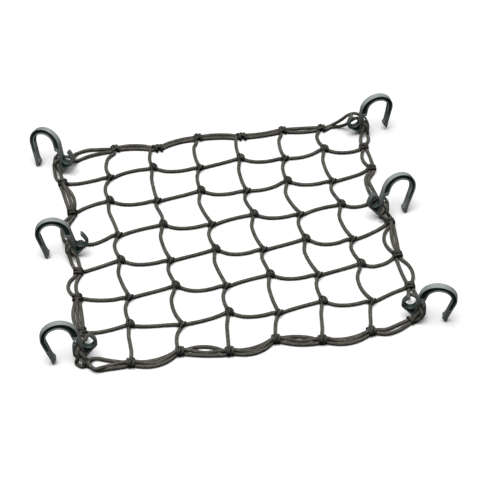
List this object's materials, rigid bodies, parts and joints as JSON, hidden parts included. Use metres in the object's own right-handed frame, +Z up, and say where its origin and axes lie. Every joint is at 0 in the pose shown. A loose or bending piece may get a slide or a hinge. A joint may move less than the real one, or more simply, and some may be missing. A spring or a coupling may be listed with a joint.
{
  "type": "elastic cargo net with hooks",
  "caption": "Elastic cord cargo net laid out flat, knotted in a square mesh inside a doubled border that holds plastic hooks along two sides.",
  "frame": {"origin": "middle of the footprint, on the surface that the net lies on", "axes": "+X to the right across the net, between its two rows of hooks; +Y away from the front edge; +Z up"},
  "size_m": [0.4981, 0.4151, 0.0586],
  "materials": {
    "braided_cord": "rough woven sheath",
    "hook_plastic": "satin moulded"
  },
  "bodies": {
    "root": {"cord_net": "braided_cord", "hook_left_back": "hook_plastic", "hook_left_middle": "hook_plastic", "hook_left_front": "hook_plastic", "hook_right_back": "hook_plastic", "hook_right_middle": "hook_plastic", "hook_right_front": "hook_plastic"}
  },
  "joints": []
}
